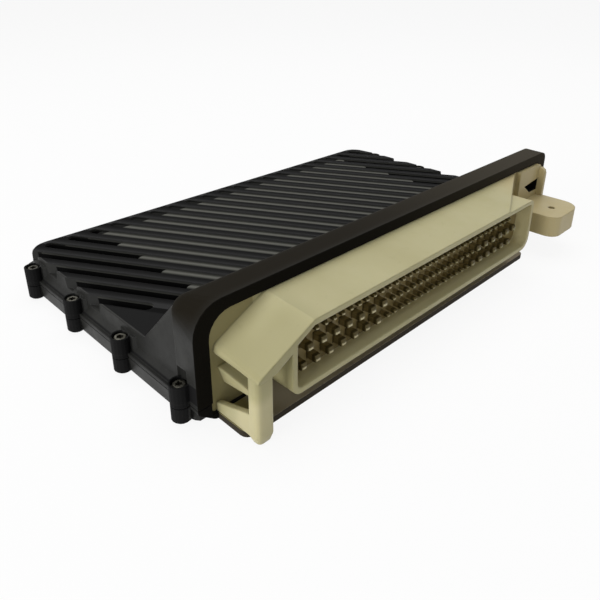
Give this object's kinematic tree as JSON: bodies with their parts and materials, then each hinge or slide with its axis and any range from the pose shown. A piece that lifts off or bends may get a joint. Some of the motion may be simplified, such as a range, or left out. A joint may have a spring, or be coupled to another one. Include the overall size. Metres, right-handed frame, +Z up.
{
  "type": "engine control unit",
  "caption": "Flat black finned die-cast engine control unit with a tall flange framing a long cream plug header, hook cage, pin rows, screw bosses and a circuit board inside.",
  "frame": {"origin": "under the middle of the flange's front face, on the plane of the flat underside", "axes": "+X along the plug header towards its ear, +Y from the plug side to the rear edge, +Z up out of the ribbed cover"},
  "size_m": [0.2298, 0.1549, 0.042],
  "materials": {
    "black_casting": "satin black coat over a die casting",
    "base_casting": "satin black coat over a die casting",
    "cream_plastic": "cream moulded plastic",
    "pin_metal": "tinned",
    "plug_rubber": "matt black",
    "case_rubber": "matt black",
    "screw_steel": "bare zinc-plated",
    "board_green": "green solder mask",
    "board_screw_steel": "bare zinc-plated",
    "chip_black": "moulded black",
    "can_metal": "plain can",
    "winding_grey": "moulded dark grey",
    "thermal_grey": "soft grey pad"
  },
  "bodies": {
    "root": {"base_cover": "base_casting", "board_screw_1": "board_screw_steel", "board_screw_2": "board_screw_steel", "board_screw_3": "board_screw_steel", "board_screw_4": "board_screw_steel", "circuit_board": "board_green", "connector_housing": "cream_plastic", "connector_seal": "plug_rubber", "cover_screw_1": "screw_steel", "cover_screw_2": "screw_steel", "cover_screw_3": "screw_steel", "cover_screw_4": "screw_steel", "cover_screw_5": "screw_steel", "cover_screw_6": "screw_steel", "cover_screw_7": "screw_steel", "cover_screw_8": "screw_steel", "cover_seal": "case_rubber", "crystal": "can_metal", "driver_chip_1": "chip_black", "driver_chip_2": "chip_black", "driver_chip_3": "chip_black", "driver_chip_4": "chip_black", "flash_memory": "chip_black", "power_pin_01": "pin_metal", "power_pin_02": "pin_metal", "power_pin_03": "pin_metal", "power_pin_04": "pin_metal", "power_pin_05": "pin_metal", "power_pin_06": "pin_metal", "power_pin_07": "pin_metal", "power_pin_08": "pin_metal", "power_pin_09": "pin_metal", "power_pin_10": "pin_metal", "power_pin_11": "pin_metal", "power_pin_12": "pin_metal", "power_pin_13": "pin_metal", "power_pin_14": "pin_metal", "power_pin_15": "pin_metal", "power_pin_16": "pin_metal", "power_pin_17": "pin_metal", "power_pin_18": "pin_metal", "power_pin_19": "pin_metal", "power_pin_20": "pin_metal", "power_pin_21": "pin_metal", "power_pin_22": "pin_metal", "power_pin_23": "pin_metal", "power_pin_24": "pin_metal", "power_pin_25": "pin_metal", "power_pin_26": "pin_metal", "processor": "chip_black", "storage_inductor": "winding_grey", "supply_capacitor_1": "can_metal", "supply_capacitor_2": "can_metal", "supply_capacitor_3": "can_metal", "supply_chip": "chip_black", "thermal_pad_1": "thermal_grey", "thermal_pad_2": "thermal_grey", "upper_cover": "black_casting"}
  },
  "joints": []
}
